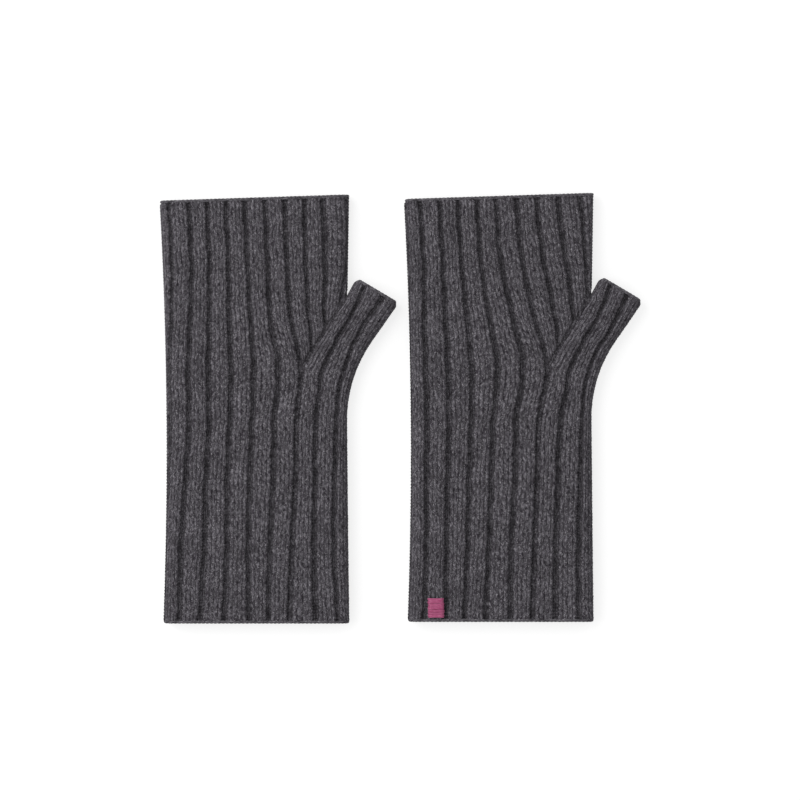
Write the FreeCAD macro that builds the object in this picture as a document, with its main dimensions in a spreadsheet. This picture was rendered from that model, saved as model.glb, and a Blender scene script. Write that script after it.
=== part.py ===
# Fingerless gloves: a pair of ribbed knit gloves lying flat, side by side, thumbs to the right.
# Each glove is a back and a palm layer of ribbed knit, linked along its sides into an open tube,
# with a short thumb stall that folds over the hand, and a cast-off chain round every opening.
# Frame: +Z up off the table, +Y from the cuff to the fingers, origin under the middle of the pair.
import FreeCAD, Part
import math
import os
import Sketcher
from FreeCAD import Placement, Rotation, Vector

# Driving dimensions in millimetres and degrees. Each glove is drawn about its own cuff middle.
SIZES = {
    "glove_height": 11.0,  # thickness of one glove as it lies
    "knit_thickness": 2.6,  # one layer of ribbed knit
    "side_round": 5.0,  # radius of the fold along each side
    "left_glove_x": -71.03,  # middle of each glove's cuff
    "right_glove_x": 48.67,
    "left_glove_y": -105.3,
    "right_glove_y": -104.5,
    "cuff_half_width": 45.5,
    "little_side_top_x": -47.3,  # hand opening, little-finger corner
    "little_side_length": 206.8,
    "little_side_radius": 2211.0,  # the side curves in by 2.4 mm at the waist
    "thumb_side_top_x": 45.1,  # hand opening, thumb-side corner
    "thumb_side_length": 209.8,
    "thumb_start_x": 44.35,  # where the thumb's outer edge leaves the wrist
    "thumb_start_y": 100.0,
    "thumb_bend_radius": 66.0,
    "thumb_tip_x": 69.9,  # thumb opening, outer corner
    "thumb_tip_y": 156.8,
    "thumb_outer_lean": 36.6,  # outer edge, away from the glove's length
    "thumb_inner_x": 48.95,  # thumb opening, corner beside the hand
    "thumb_inner_y": 169.3,
    "thumb_inner_lean": 28.0,
    "crotch_x": 44.3,  # where the thumb's inner edge meets the hand
    "crotch_round": 1.5,
    "hinge_x": 45.2,  # line that the thumb folds on
    "fold_gap": 0.3,
    "seam_height": 1.0,
    "edge_width": 1.6,  # cast-off chain, along the knit
    "edge_outer_inset": 0.4,  # cast-off chain, below the knit's faces
    "edge_inner_inset": 2.2,
    "valley_radius": 1.3,
    "valley_depth": 1.0,
    "overrun": 2.0,
    "tack_width": 8.4,
    "tack_length": 9.6,
    "tack_thickness": 0.8,
    "tack_x": -31.9,
    "tack_y": 1.9,
    "wrist_reach": 35.0,  # the wrist's side ends this far past the start of the thumb's bend
    "clearance_side": 200.0,  # larger than a glove, for the boxes that part it
}

# Rib valleys. "full" holds each valley's distance from the glove's middle at the cuff, beside the
# foot of the thumb and at the hand opening. "upper" ones start on the line where the hand meets
# the thumb and end at the hand opening. "thumb" ones run from the cuff into the thumb.
LEFT_BACK = {
    "full": ((-38.2, -33.8, -33.8), (-28.4, -23.9, -24.5), (-15.8, -12.7, -15.7),
             (-3.9, -1.9, -5.9), (5.4, 10.0, 3.9), (16.0, 20.3, 13.7)),
    "upper": ((26.0, 23.5), (33.8, 32.8), (42.4, 42.8)),
    "thumb": ((29.4, 29.0, 36.8, 52.5, 163.5), (40.2, 39.2, 46.1, 61.8, 158.6)),
}
RIGHT_BACK = {
    "full": ((-37.0, -37.3, -40.3), (-27.4, -26.1, -30.0), (-17.9, -15.3, -21.7),
             (-7.6, -2.6, -11.9), (4.3, 9.4, -2.5), (16.2, 21.2, 7.3)),
    "upper": ((26.9, 17.5), (34.7, 28.3), (42.0, 39.1)),
    "thumb": ((28.8, 30.0, 38.1, 53.3, 164.0), (38.6, 39.8, 48.4, 60.6, 158.2)),
}
# The palm layers lie on the table, out of sight: their ribs are spaced evenly.
PALM = {
    "full": ((-36.0, -34.6, -37.4), (-25.5, -23.6, -27.6), (-15.0, -12.6, -17.8),
             (-4.5, -1.6, -8.0), (6.0, 9.4, 1.8), (16.5, 20.6, 11.6)),
    "upper": ((26.4, 21.4), (34.2, 31.2), (42.2, 41.0)),
    "thumb": ((29.0, 29.4, 37.4, 53.0, 163.8), (39.4, 39.6, 47.2, 61.2, 158.4)),
}
MEETING_FOOT = (20.6, 125.0)  # line where the hand's ribs meet the thumb's, lower end
MEETING_TOP = (45.6, 162.5)  # and its upper end, in the crotch of the thumb
BEND_LOW_Y = 105.0
BEND_HIGH_Y = 133.6


def make_sheet(doc):
    """Puts the driving dimensions on a spreadsheet, one named cell each."""
    sheet = doc.addObject("Spreadsheet::Sheet", "sizes")
    for row, (alias, value) in enumerate(SIZES.items(), start=1):
        sheet.set(f"A{row}", alias)
        sheet.set(f"B{row}", str(value))
        sheet.setAlias(f"B{row}", alias)
    doc.recompute()
    return sheet


def start_sketch(body, name, height):
    """A sketch on the body's own XY plane, raised by a formula of the sheet's cells."""
    sketch = body.newObject("Sketcher::SketchObject", name)
    plane = [item for item in body.Origin.OriginFeatures if item.Role == "XY_Plane"][0]
    sketch.AttachmentSupport = [(plane, "")]
    sketch.MapMode = "FlatFace"
    sketch.setExpression("AttachmentOffset.Base.z", height)
    return sketch


def bind_point(sketch, curve, end, x_formula, y_formula):
    """Holds the end of a curve at a place given by formulas of the sheet's cells."""
    point = sketch.getPoint(curve, end)
    for kind, value, formula in (("DistanceX", point.x, x_formula), ("DistanceY", point.y, y_formula)):
        index = sketch.addConstraint(Sketcher.Constraint(kind, -1, 1, curve, end, value))
        sketch.setExpression(f"Constraints[{index}]", formula)


def bind_radius(sketch, curve, formula):
    """Holds the radius of an arc at a formula of the sheet's cells."""
    radius = sketch.Geometry[curve].Radius
    index = sketch.addConstraint(Sketcher.Constraint("Radius", curve, radius))
    sketch.setExpression(f"Constraints[{index}]", formula)


def draw_outline(sketch, inset, overrun):
    """The outline of a glove seen from above, its sides moved in and its ends moved out."""
    low_left = Vector(-45.5, 0, 0)
    low_right = Vector(45.5, 0, 0)
    bend_start = Vector(44.35, 100, 0)
    bend_end = Vector(57.4, 139.9, 0)
    tip = Vector(69.9, 156.8, 0)
    mouth = Vector(48.95, 169.3, 0)
    crotch = Vector(44.3, 160.6, 0)
    top_right = Vector(45.1, 209.8, 0)
    top_left = Vector(-47.3, 206.8, 0)
    corners = (low_left, low_right, bend_start)
    for start, end in zip(corners, corners[1:]):
        sketch.addGeometry(Part.LineSegment(start, end))
    sketch.addGeometry(Part.Arc(bend_end, Vector(47.5, 120.9, 0), bend_start))
    corners = (bend_end, tip, mouth, crotch, top_right, top_left)
    for start, end in zip(corners, corners[1:]):
        sketch.addGeometry(Part.LineSegment(start, end))
    sketch.addGeometry(Part.Arc(low_left, Vector(-43.5, 103, 0), top_left))
    joined = (
        (0, 2, 1, 1), (3, 2, 4, 1), (4, 2, 5, 1), (5, 2, 6, 1), (6, 2, 7, 1), (7, 2, 8, 2), (8, 1, 0, 1)
    )
    for first, first_end, second, second_end in joined:
        sketch.addConstraint(Sketcher.Constraint("Coincident", first, first_end, second, second_end))
    sketch.addConstraint(Sketcher.Constraint("Tangent", 1, 2, 2, 2))
    sketch.addConstraint(Sketcher.Constraint("Tangent", 2, 1, 3, 1))
    lean_cos = "cos(sizes.thumb_inner_lean)"
    lean_sin = "sin(sizes.thumb_inner_lean)"
    side_x = "sizes.crotch_x"
    back_run = f"(sizes.thumb_inner_x - {side_x} + ({inset}) * (1 + {lean_cos})) / {lean_sin}"
    bind_point(sketch, 0, 1, f"-(sizes.cuff_half_width - ({inset}))", f"-({overrun})")
    bind_point(sketch, 0, 2, f"sizes.cuff_half_width - ({inset})", f"-({overrun})")
    bind_point(sketch, 1, 2, f"sizes.thumb_start_x - ({inset})", "sizes.thumb_start_y")
    bind_radius(sketch, 2, f"sizes.thumb_bend_radius + ({inset})")
    bind_point(sketch, 3, 2,
               f"sizes.thumb_tip_x - ({inset}) * cos(sizes.thumb_outer_lean)"
               f" + ({overrun}) * sin(sizes.thumb_outer_lean)",
               f"sizes.thumb_tip_y + ({inset}) * sin(sizes.thumb_outer_lean)"
               f" + ({overrun}) * cos(sizes.thumb_outer_lean)")
    bind_point(sketch, 5, 1,
               f"sizes.thumb_inner_x + ({inset}) * {lean_cos} + ({overrun}) * {lean_sin}",
               f"sizes.thumb_inner_y - ({inset}) * {lean_sin} + ({overrun}) * {lean_cos}")
    bind_point(sketch, 5, 2, f"{side_x} - ({inset})",
               f"sizes.thumb_inner_y - ({inset}) * {lean_sin} - {back_run} * {lean_cos}")
    bind_point(sketch, 7, 1, f"sizes.thumb_side_top_x - ({inset})",
               f"sizes.thumb_side_length + ({overrun})")
    bind_point(sketch, 7, 2, f"sizes.little_side_top_x + ({inset})",
               f"sizes.little_side_length + ({overrun})")
    bind_radius(sketch, 8, "sizes.little_side_radius")


def add_fillet(doc, body, name, feature, radius, edge_test):
    """Rounds the edges that pass the test."""
    names = [f"Edge{number}" for number, edge in enumerate(feature.Shape.Edges, start=1)
             if edge_test(edge)]
    rounding = body.newObject("PartDesign::Fillet", f"{body.Name}_{name}")
    rounding.Base = (feature, names)
    rounding.setExpression("Radius", radius)
    doc.recompute()
    return rounding


def is_crotch(edge):
    """True for the upright edge in the crotch between thumb and hand."""
    middle = edge.valueAt((edge.FirstParameter + edge.LastParameter) / 2)
    return edge.BoundBox.ZLength > 1 and 40 < middle.x < 46 and 140 < middle.y < 165


def is_side(edge):
    """True for the long edges along the sides, not those at cuff, hand and thumb openings."""
    if edge.BoundBox.ZLength > 0.01:
        return False
    along = edge.tangentAt((edge.FirstParameter + edge.LastParameter) / 2)
    return abs(along.y) > 0.75 or edge.Length < 8


def make_glove_form(doc, name, inset, overrun):
    """One flat tube for wrist, hand and thumb, all its faces moved in by the inset."""
    body = doc.addObject("PartDesign::Body", name)
    sketch = start_sketch(body, f"{name}_outline", inset)
    draw_outline(sketch, inset, overrun)
    pad = body.newObject("PartDesign::Pad", f"{name}_pad")
    pad.Profile = sketch
    pad.setExpression("Length", f"sizes.glove_height - 2 * ({inset})")
    doc.recompute()
    crotch = add_fillet(doc, body, "crotch", pad, f"sizes.crotch_round + ({inset})", is_crotch)
    add_fillet(doc, body, "sides", crotch, f"sizes.side_round - ({inset})", is_side)
    return body


def make_difference(doc, name, base, tool):
    """The base with the tool cut away."""
    cut = doc.addObject("Part::Cut", name)
    cut.Base = base
    cut.Tool = tool
    return cut


def make_box(doc, name, corner, size, turn="0"):
    """A box from its corner, size and turn about +Z, all formulas of the sheet's cells."""
    box = doc.addObject("Part::Box", name)
    for axis, formula in zip("xyz", corner):
        box.setExpression(f"Placement.Base.{axis}", formula)
    for side, formula in zip(("Length", "Width", "Height"), size):
        box.setExpression(side, formula)
    box.Placement.Rotation = Rotation(Vector(0, 0, 1), 0)
    box.setExpression("Placement.Rotation.Angle", turn)
    return box


def make_valley(doc, name, points, on_back):
    """A round cutter drawn along the points, sunk into the back or the palm face."""
    spine = doc.addObject("Sketcher::SketchObject", f"{name}_line")
    centre = "sizes.valley_radius - sizes.valley_depth"
    level = f"sizes.glove_height + {centre}" if on_back else f"-({centre})"
    spine.setExpression("Placement.Base.z", level)
    for start, end in zip(points, points[1:]):
        spine.addGeometry(Part.LineSegment(Vector(*start, 0), Vector(*end, 0)))
    for index in range(len(points) - 2):
        spine.addConstraint(Sketcher.Constraint("Coincident", index, 2, index + 1, 1))
    profile = doc.addObject("Part::Circle", f"{name}_round")
    profile.setExpression("Radius", "sizes.valley_radius")
    run = Vector(*points[1], 0) - Vector(*points[0], 0)
    profile.Placement = Placement(Vector(*points[0], 0), Rotation(Vector(0, 0, 1), run))
    profile.setExpression("Placement.Base.z", level)
    valley = doc.addObject("Part::Sweep", name)
    valley.Sections = [profile]
    valley.Spine = (spine, [f"Edge{number}" for number in range(1, len(points))])
    valley.Solid = True
    valley.Transition = "Right corner"
    return valley


def beyond(start, end, distance):
    """The point past the end of a run, by a distance in millimetres."""
    length = math.hypot(end[0] - start[0], end[1] - start[1])
    part = 1 + distance / length
    return (start[0] + (end[0] - start[0]) * part, start[1] + (end[1] - start[1]) * part)


def make_valleys(doc, name, ribs, on_back):
    """All the valleys between the ribs of one layer of one glove."""
    low_y = -SIZES["overrun"]
    high_y = SIZES["thumb_side_length"] + SIZES["overrun"]
    foot_x, foot_y = MEETING_FOOT
    slope = (MEETING_TOP[1] - foot_y) / (MEETING_TOP[0] - foot_x)
    runs = []
    for at_cuff, at_foot, at_opening in ribs["full"]:
        runs.append([(at_cuff, low_y), (at_foot, foot_y), (at_opening, high_y)])
    for at_start, at_opening in ribs["upper"]:
        runs.append([(at_start, foot_y + (at_start - foot_x) * slope), (at_opening, high_y)])
    for at_cuff, at_bend, past_bend, at_mouth, mouth_y in ribs["thumb"]:
        mouth = beyond((past_bend, BEND_HIGH_Y), (at_mouth, mouth_y), SIZES["overrun"])
        runs.append([(at_cuff, low_y), (at_bend, BEND_LOW_Y), (past_bend, BEND_HIGH_Y), mouth])
    runs.append([(ribs["full"][-1][1], foot_y), MEETING_TOP])
    tools = doc.addObject("Part::MultiFuse", f"{name}_valleys")
    tools.Shapes = [make_valley(doc, f"{name}_valley_{number}", run, on_back)
                    for number, run in enumerate(runs, start=1)]
    return tools


def make_zones(doc):
    """The boxes that part a glove into its pieces."""
    big = "sizes.clearance_side"
    low, double, triple = f"-{big}", f"2 * {big}", f"3 * {big}"
    half = "sizes.glove_height / 2"
    seam = "sizes.seam_height / 2"
    width = "sizes.edge_width"
    top_slant = ("atan((sizes.thumb_side_length - sizes.little_side_length)"
                 " / (sizes.thumb_side_top_x - sizes.little_side_top_x))")
    mouth_slant = ("atan((sizes.thumb_tip_y - sizes.thumb_inner_y)"
                   " / (sizes.thumb_tip_x - sizes.thumb_inner_x))")
    past_hinge = "sizes.hinge_x + sizes.fold_gap"
    thumb_turn = "-(sizes.thumb_outer_lean + sizes.thumb_inner_lean) / 2"
    middle_x = "(sizes.thumb_tip_x + sizes.thumb_inner_x) / 2"
    middle_y = "(sizes.thumb_tip_y + sizes.thumb_inner_y) / 2"
    above_bend = "sizes.thumb_start_y + sizes.wrist_reach"
    opening_corner = (f"sizes.little_side_top_x - 5 + {width} * sin({top_slant})",
                      f"sizes.little_side_length - {width} - 5 * tan({top_slant})", low)
    mouth_corner = (f"sizes.thumb_inner_x - 2 * cos({mouth_slant}) + {width} * sin({mouth_slant})",
                    f"sizes.thumb_inner_y - 2 * sin({mouth_slant}) - {width} * cos({mouth_slant})", low)
    thumb_corner = (f"{middle_x} - 100 * cos({thumb_turn} + 90)",
                    f"{middle_y} - 100 * sin({thumb_turn} + 90)", low)
    zones = {
        "cuff": ((low, low, low), (double, f"{big} + {width}", double)),
        "opening": (opening_corner, (big, "20", double), top_slant),
        "mouth": (mouth_corner, ("30", "6", double), mouth_slant),
        "back": ((low, low, f"{half} + {seam}"), (double, triple, big)),
        "palm": ((low, low, f"{half} - {seam} - {big}"), (double, triple, big)),
        "seam": ((low, low, f"{half} - {seam}"), (double, triple, "sizes.seam_height")),
        "hand": ((f"sizes.hinge_x - {big}", low, low), (big, triple, double)),
        "thumb": ((past_hinge, low, low), (big, triple, double)),
        "little_side": ((low, low, low), (big, triple, double)),
        "wrist_side": (("0", low, low), ("sizes.hinge_x", f"{big} + {above_bend}", double)),
        "hand_side": (("0", above_bend, low), ("sizes.hinge_x", big, double)),
        "thumb_outer": (thumb_corner, (big, big, double), thumb_turn),
    }
    return {name: make_box(doc, f"{name}_zone", *values) for name, values in zones.items()}


def make_common(doc, label, shapes, glove):
    """The piece that all the shapes share, labelled and placed with its glove."""
    piece = doc.addObject("Part::MultiCommon", label)
    piece.Shapes = shapes
    piece.Label = label
    piece.setExpression("Placement.Base.x", f"sizes.{glove}_glove_x")
    piece.setExpression("Placement.Base.y", f"sizes.{glove}_glove_y")
    return piece


def make_glove(doc, glove, knit, chain, zones, back_ribs):
    """The twelve pieces of one glove, cut from the ribbed knit and the cast-off chain."""
    back_cut = make_difference(doc, f"{glove}_back_ribbed", knit,
                               make_valleys(doc, f"{glove}_back", back_ribs, True))
    ribbed = make_difference(doc, f"{glove}_ribbed", back_cut,
                             make_valleys(doc, f"{glove}_palm", PALM, False))
    ends = doc.addObject("Part::MultiFuse", f"{glove}_ends")
    ends.Shapes = [zones["cuff"], zones["opening"], zones["mouth"]]
    tube = make_difference(doc, f"{glove}_tube", ribbed, ends)
    inner_half = make_difference(doc, f"{glove}_inner_half", zones["thumb"], zones["thumb_outer"])
    parts = {
        "back_panel": [tube, zones["back"], zones["hand"]],
        "palm_panel": [tube, zones["palm"], zones["hand"]],
        "thumb_back_panel": [tube, zones["back"], zones["thumb"]],
        "thumb_palm_panel": [tube, zones["palm"], zones["thumb"]],
        "little_finger_side_seam": [tube, zones["seam"], zones["little_side"]],
        "wrist_side_seam": [tube, zones["seam"], zones["wrist_side"]],
        "hand_side_seam": [tube, zones["seam"], zones["hand_side"]],
        "thumb_outer_seam": [tube, zones["seam"], zones["thumb"], zones["thumb_outer"]],
        "thumb_inner_seam": [tube, zones["seam"], inner_half],
        "cuff_edge": [chain, zones["cuff"]],
        "hand_opening_edge": [chain, zones["opening"]],
        "thumb_opening_edge": [chain, zones["mouth"]],
    }
    return [make_common(doc, f"{glove}_{name}", shapes, glove) for name, shapes in parts.items()]


def make_tack(doc):
    """A plain block of pink satin stitch, sewn on the right glove beside the cuff."""
    tack = make_box(doc, "pink_tack",
                    ("sizes.right_glove_x + sizes.tack_x - sizes.tack_width / 2",
                     "sizes.right_glove_y + sizes.tack_y", "sizes.glove_height"),
                    ("sizes.tack_width", "sizes.tack_length", "sizes.tack_thickness"))
    tack.Label = "pink_tack"
    return tack


def check_and_export(doc, pieces):
    """Stops on any broken object, then writes each piece to its own file."""
    for item in doc.Objects:
        if "Invalid" in item.State or "Error" in item.State:
            raise RuntimeError(f"{item.Name} is broken: {item.State}")
    for piece in pieces:
        shape = piece.Shape
        if shape.isNull() or not shape.isValid() or len(shape.Solids) != 1:
            raise RuntimeError(f"{piece.Label}: valid {shape.isValid()}, {len(shape.Solids)} solids")
        shape.exportStep(os.path.join("parts", f"{piece.Label}.step"))
        box = shape.BoundBox
        print(f"{piece.Label}: {shape.Volume:.0f} mm3, x {box.XMin:.2f}..{box.XMax:.2f}, "
              f"y {box.YMin:.2f}..{box.YMax:.2f}, z {box.ZMin:.2f}..{box.ZMax:.2f}")


def main():
    os.makedirs("parts", exist_ok=True)
    doc = FreeCAD.newDocument("fingerless_gloves")
    make_sheet(doc)
    outside = make_glove_form(doc, "outside", "0", "0")
    inside = make_glove_form(doc, "inside", "sizes.knit_thickness", "sizes.overrun")
    chain_outside = make_glove_form(doc, "chain_outside", "sizes.edge_outer_inset", "0")
    chain_inside = make_glove_form(doc, "chain_inside", "sizes.edge_inner_inset", "sizes.overrun")
    knit = make_difference(doc, "knit", outside, inside)
    chain = make_difference(doc, "chain", chain_outside, chain_inside)
    zones = make_zones(doc)
    pieces = make_glove(doc, "left", knit, chain, zones, LEFT_BACK)
    pieces += make_glove(doc, "right", knit, chain, zones, RIGHT_BACK)
    pieces.append(make_tack(doc))
    doc.recompute()
    check_and_export(doc, pieces)


main()
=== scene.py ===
"""A pair of ribbed wool fingerless gloves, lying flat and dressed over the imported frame.

Each glove is drawn in millimetres about the middle of its own cuff, +Y towards the fingers, and
placed by the frame's boxes. A layer of knit is a grid of wales and courses: its columns follow the
ribs as they lie, and its relief carries the ribs, the valleys and every stitch's two legs.
"""

import logging
import math
from collections.abc import Callable, Sequence
from dataclasses import dataclass, field
from enum import Enum

import bpy
import numpy as np
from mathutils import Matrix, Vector

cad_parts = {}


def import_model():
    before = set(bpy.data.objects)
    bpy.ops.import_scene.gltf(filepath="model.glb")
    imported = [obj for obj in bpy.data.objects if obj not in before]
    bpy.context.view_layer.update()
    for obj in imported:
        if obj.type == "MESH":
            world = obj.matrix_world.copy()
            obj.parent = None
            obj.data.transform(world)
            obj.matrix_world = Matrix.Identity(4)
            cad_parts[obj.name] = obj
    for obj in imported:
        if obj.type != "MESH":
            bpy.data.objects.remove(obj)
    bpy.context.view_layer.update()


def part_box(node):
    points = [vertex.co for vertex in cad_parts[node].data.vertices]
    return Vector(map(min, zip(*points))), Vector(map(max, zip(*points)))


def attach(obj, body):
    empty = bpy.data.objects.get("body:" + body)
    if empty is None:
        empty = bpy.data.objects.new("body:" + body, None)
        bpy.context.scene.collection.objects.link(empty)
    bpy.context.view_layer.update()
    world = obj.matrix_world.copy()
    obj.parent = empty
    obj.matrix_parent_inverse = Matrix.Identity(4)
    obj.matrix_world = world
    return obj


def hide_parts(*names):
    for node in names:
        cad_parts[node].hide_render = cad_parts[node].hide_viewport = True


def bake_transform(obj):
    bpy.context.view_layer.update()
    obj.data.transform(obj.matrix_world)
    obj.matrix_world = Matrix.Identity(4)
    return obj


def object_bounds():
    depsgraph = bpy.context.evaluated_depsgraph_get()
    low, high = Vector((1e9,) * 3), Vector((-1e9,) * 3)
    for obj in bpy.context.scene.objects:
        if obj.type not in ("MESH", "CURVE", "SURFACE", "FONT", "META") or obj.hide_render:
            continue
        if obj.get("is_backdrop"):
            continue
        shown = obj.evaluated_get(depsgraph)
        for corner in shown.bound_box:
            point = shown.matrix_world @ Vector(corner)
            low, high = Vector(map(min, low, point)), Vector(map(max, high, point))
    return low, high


log = logging.getLogger("gloves")

MM = 0.001  # metres in a millimetre
TINY = 1e-9  # shortest length that is divided by, and slack in a comparison
LEG_SLANT = 1.1  # courses that a stitch's leg rises by for a wale that it leans across
Point = tuple[float, float]
Frames = tuple[np.ndarray, np.ndarray, np.ndarray]  # points, outward and sideways directions
Line = Callable[[np.ndarray], Frames]
Place = Callable[[np.ndarray, np.ndarray], np.ndarray]


def srgb(code: str) -> tuple[float, float, float, float]:
    """Turns an sRGB hex colour into linear light.

    Args:
        code: six hex digits after a '#'.

    Returns:
        Red, green, blue and an alpha of 1.
    """
    channels = [int(code[i : i + 2], 16) / 255 for i in (1, 3, 5)]
    linear = [c / 12.92 if c <= 0.04045 else ((c + 0.055) / 1.055) ** 2.4 for c in channels]
    return (*linear, 1.0)


def smoothstep(low: float, high: float, value: np.ndarray) -> np.ndarray:
    """Rises smoothly from 0 where value is low to 1 where it is high."""
    t = np.clip((value - low) / (high - low), 0.0, 1.0)
    return t * t * (3.0 - 2.0 * t)


def ripple(value: np.ndarray, seed: int, wave: float) -> np.ndarray:
    """A slow irregular wave, the same on every run.

    Args:
        value: distance along the wave, in the unit of its length.
        seed: picks the wave.
        wave: rough length of one swing.

    Returns:
        Values from about -1 to 1.
    """
    rng = np.random.default_rng(seed)
    total = np.zeros_like(np.asarray(value, float))
    for share in (1.0, 0.61, 0.37, 0.23):
        phase, size = rng.uniform(0, 2 * math.pi), rng.uniform(0.5, 1.0)
        total = total + size * np.sin(2 * math.pi * value / (wave * share) + phase) * share
    return total / 1.4


def unit(vectors: np.ndarray) -> np.ndarray:
    """Scales vectors, shape (n, 2) or (n, 3), to a length of 1."""
    return vectors / np.maximum(np.linalg.norm(vectors, axis=1, keepdims=True), TINY)


def between(lines: np.ndarray, lanes: np.ndarray) -> np.ndarray:
    """Reads values between numbered lines.

    Args:
        lines: each line's value in each row, shape (rows, lines).
        lanes: the places wanted, counted in lines.

    Returns:
        Values, shape (rows, lanes).
    """
    index = np.minimum(np.floor(lanes).astype(int), lines.shape[1] - 2)
    part = lanes - index
    return lines[:, index] * (1 - part) + lines[:, index + 1] * part


@dataclass(frozen=True)
class Route:
    """A smooth line up the glove through a few chosen points.

    Attributes:
        points: (height up the glove, distance across it), from the cuff up.
    """

    points: tuple[Point, ...]

    def across(self, height: np.ndarray) -> np.ndarray:
        """Where the line is at given heights.

        Args:
            height: distances up the glove.

        Returns:
            Distances across it, run on straight past the ends.
        """
        ys = np.array([p[0] for p in self.points], float)
        xs = np.array([p[1] for p in self.points], float)
        slopes = np.gradient(xs, ys)
        inside = np.clip(height, ys[0], ys[-1])
        i = np.clip(np.searchsorted(ys, inside) - 1, 0, len(ys) - 2)
        step = ys[i + 1] - ys[i]
        t = (inside - ys[i]) / step
        value = (
            (2 * t**3 - 3 * t**2 + 1) * xs[i]
            + (t**3 - 2 * t**2 + t) * step * slopes[i]
            + (3 * t**2 - 2 * t**3) * xs[i + 1]
            + (t**3 - t**2) * step * slopes[i + 1]
        )
        beyond = height - inside
        return value + beyond * np.where(beyond > 0, slopes[-1], slopes[0])


@dataclass(frozen=True)
class Path:
    """A line of straight runs, read by the share of its length.

    Attributes:
        corners: its points, shape (n, 2).
    """

    corners: np.ndarray

    def length(self) -> float:
        """Its whole length, in millimetres."""
        return float(np.hypot(*np.diff(self.corners, axis=0).T).sum())

    def at(self, share: np.ndarray) -> np.ndarray:
        """Points along the line.

        Args:
            share: shares of the length, from 0 to 1.

        Returns:
            Points, shape (n, 2).
        """
        runs = np.hypot(*np.diff(self.corners, axis=0).T)
        along = np.concatenate([[0.0], np.cumsum(runs)])
        where = np.clip(share, 0.0, 1.0) * along[-1]
        return np.stack([np.interp(where, along, self.corners[:, k]) for k in (0, 1)], axis=1)


@dataclass(frozen=True)
class Outline:
    """The glove's outline as it lies, in millimetres from the middle of its cuff."""

    cuff_half: float = 45.5
    little_top: Point = (-47.3, 206.8)
    thumb_side_top: Point = (45.1, 209.8)
    waist: float = 2.4  # how far the little-finger side curves in
    bend_start: Point = (44.4, 98.8)
    bend_radius: float = 66.0
    tip: Point = (69.9, 156.8)
    mouth: Point = (48.95, 169.3)
    crotch: Point = (44.3, 160.6)
    foot_height: float = 125.0  # where the hand's ribs start to meet the thumb's
    corner: float = 0.9  # rounding of the corners at cuff and hand opening
    thumb_corner: float = 3.4
    height: float = 11.0  # thickness of the glove as it lies
    side_round: float = 5.0
    knit: float = 2.4  # thickness of one layer
    bend_points: int = 24  # points that draw the bend
    meeting_points: int = 60  # points that draw the valley beside the thumb strip

    def corner_inset(self, distance: np.ndarray, radius: float) -> np.ndarray:
        """How far a side draws in at a distance from the end that has a rounded corner."""
        left = np.clip(radius - distance, 0.0, radius)
        return radius - np.sqrt(radius**2 - left**2)

    def top(self, across: np.ndarray) -> np.ndarray:
        """Height of the hand opening's edge, at distances across the glove."""
        (x0, y0), (x1, y1) = self.little_top, self.thumb_side_top
        return y0 + (across - x0) * (y1 - y0) / (x1 - x0)

    def little_side(self, height: np.ndarray) -> np.ndarray:
        """The little-finger side.

        Args:
            height: distance up the glove.

        Returns:
            Distance across it.
        """
        x1, y1 = self.little_top
        share = height / y1
        side = -self.cuff_half + (x1 + self.cuff_half) * share
        side = side + self.waist * (1 - (2 * share - 1) ** 2)
        return side + self.corner_inset(np.minimum(height, y1 - height), self.corner)

    def hand_side(self, height: np.ndarray) -> np.ndarray:
        """The thumb side above the thumb, run on straight below it.

        Args:
            height: distance up the glove.

        Returns:
            Distance across it.
        """
        (x0, y0), (x1, y1) = self.crotch, self.thumb_side_top
        side = x0 + (x1 - x0) * np.clip((height - y0) / (y1 - y0), 0, 1)
        return side - self.corner_inset(y1 - height, self.corner)

    def thumb_outer(self) -> Path:
        """The wrist's side from the cuff, on round the bend and out along the thumb.

        Returns:
            The path from the cuff to the thumb opening's outer corner.
        """
        x0, y0 = self.bend_start
        lean = math.atan2(self.cuff_half - x0, y0)
        centre = (x0 + self.bend_radius * math.cos(lean), y0 + self.bend_radius * math.sin(lean))
        reach = (self.tip[0] - centre[0], self.tip[1] - centre[1])
        turn = math.atan2(reach[1], -reach[0]) - math.acos(self.bend_radius / math.hypot(*reach))
        angles = np.linspace(-lean, turn, self.bend_points)
        arc = (centre[0] - self.bend_radius * np.cos(angles), centre[1] + self.bend_radius * np.sin(angles))
        return Path(np.vstack([[(self.cuff_half, 0.0)], np.stack(arc, axis=1), [self.tip]]))

    def meeting(self, boundary: Route) -> Path:
        """The line where hand and thumb strip meet, then the thumb's inner side.

        Args:
            boundary: the valley between hand and thumb strip, below the thumb.

        Returns:
            The path from the cuff to the thumb opening's inner corner.
        """
        heights = np.linspace(0.0, self.foot_height, self.meeting_points)
        low = np.stack([boundary.across(heights), heights], axis=1)
        return Path(np.vstack([low, [self.crotch, self.mouth]]))


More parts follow.
